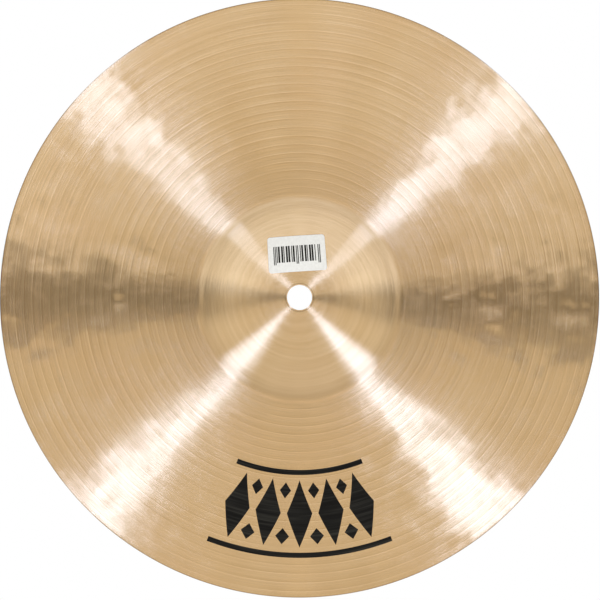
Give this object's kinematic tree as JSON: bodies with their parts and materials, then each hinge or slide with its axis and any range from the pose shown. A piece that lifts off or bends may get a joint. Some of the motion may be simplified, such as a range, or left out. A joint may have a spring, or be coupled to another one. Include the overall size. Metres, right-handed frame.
{
  "type": "splash cymbal",
  "caption": "Small thin cast bronze cymbal with a domed bell, a shallow bow and a centre hole, lathed on both sides, and a paper label stuck inside the bell.",
  "frame": {"origin": "centre of the plane that the edge rests on, on the cymbal's axis", "axes": "+Z along the axis, towards the bell's crown; -Y towards the side of the bell that holds the paper label; +X to the right when the underside is seen with the label at the top"},
  "size_m": [0.3048, 0.3048, 0.0281],
  "materials": {
    "lathed_bronze": "satin",
    "label_paper": "matte"
  },
  "bodies": {
    "root": {"cymbal": "lathed_bronze", "label": "label_paper"}
  },
  "joints": []
}
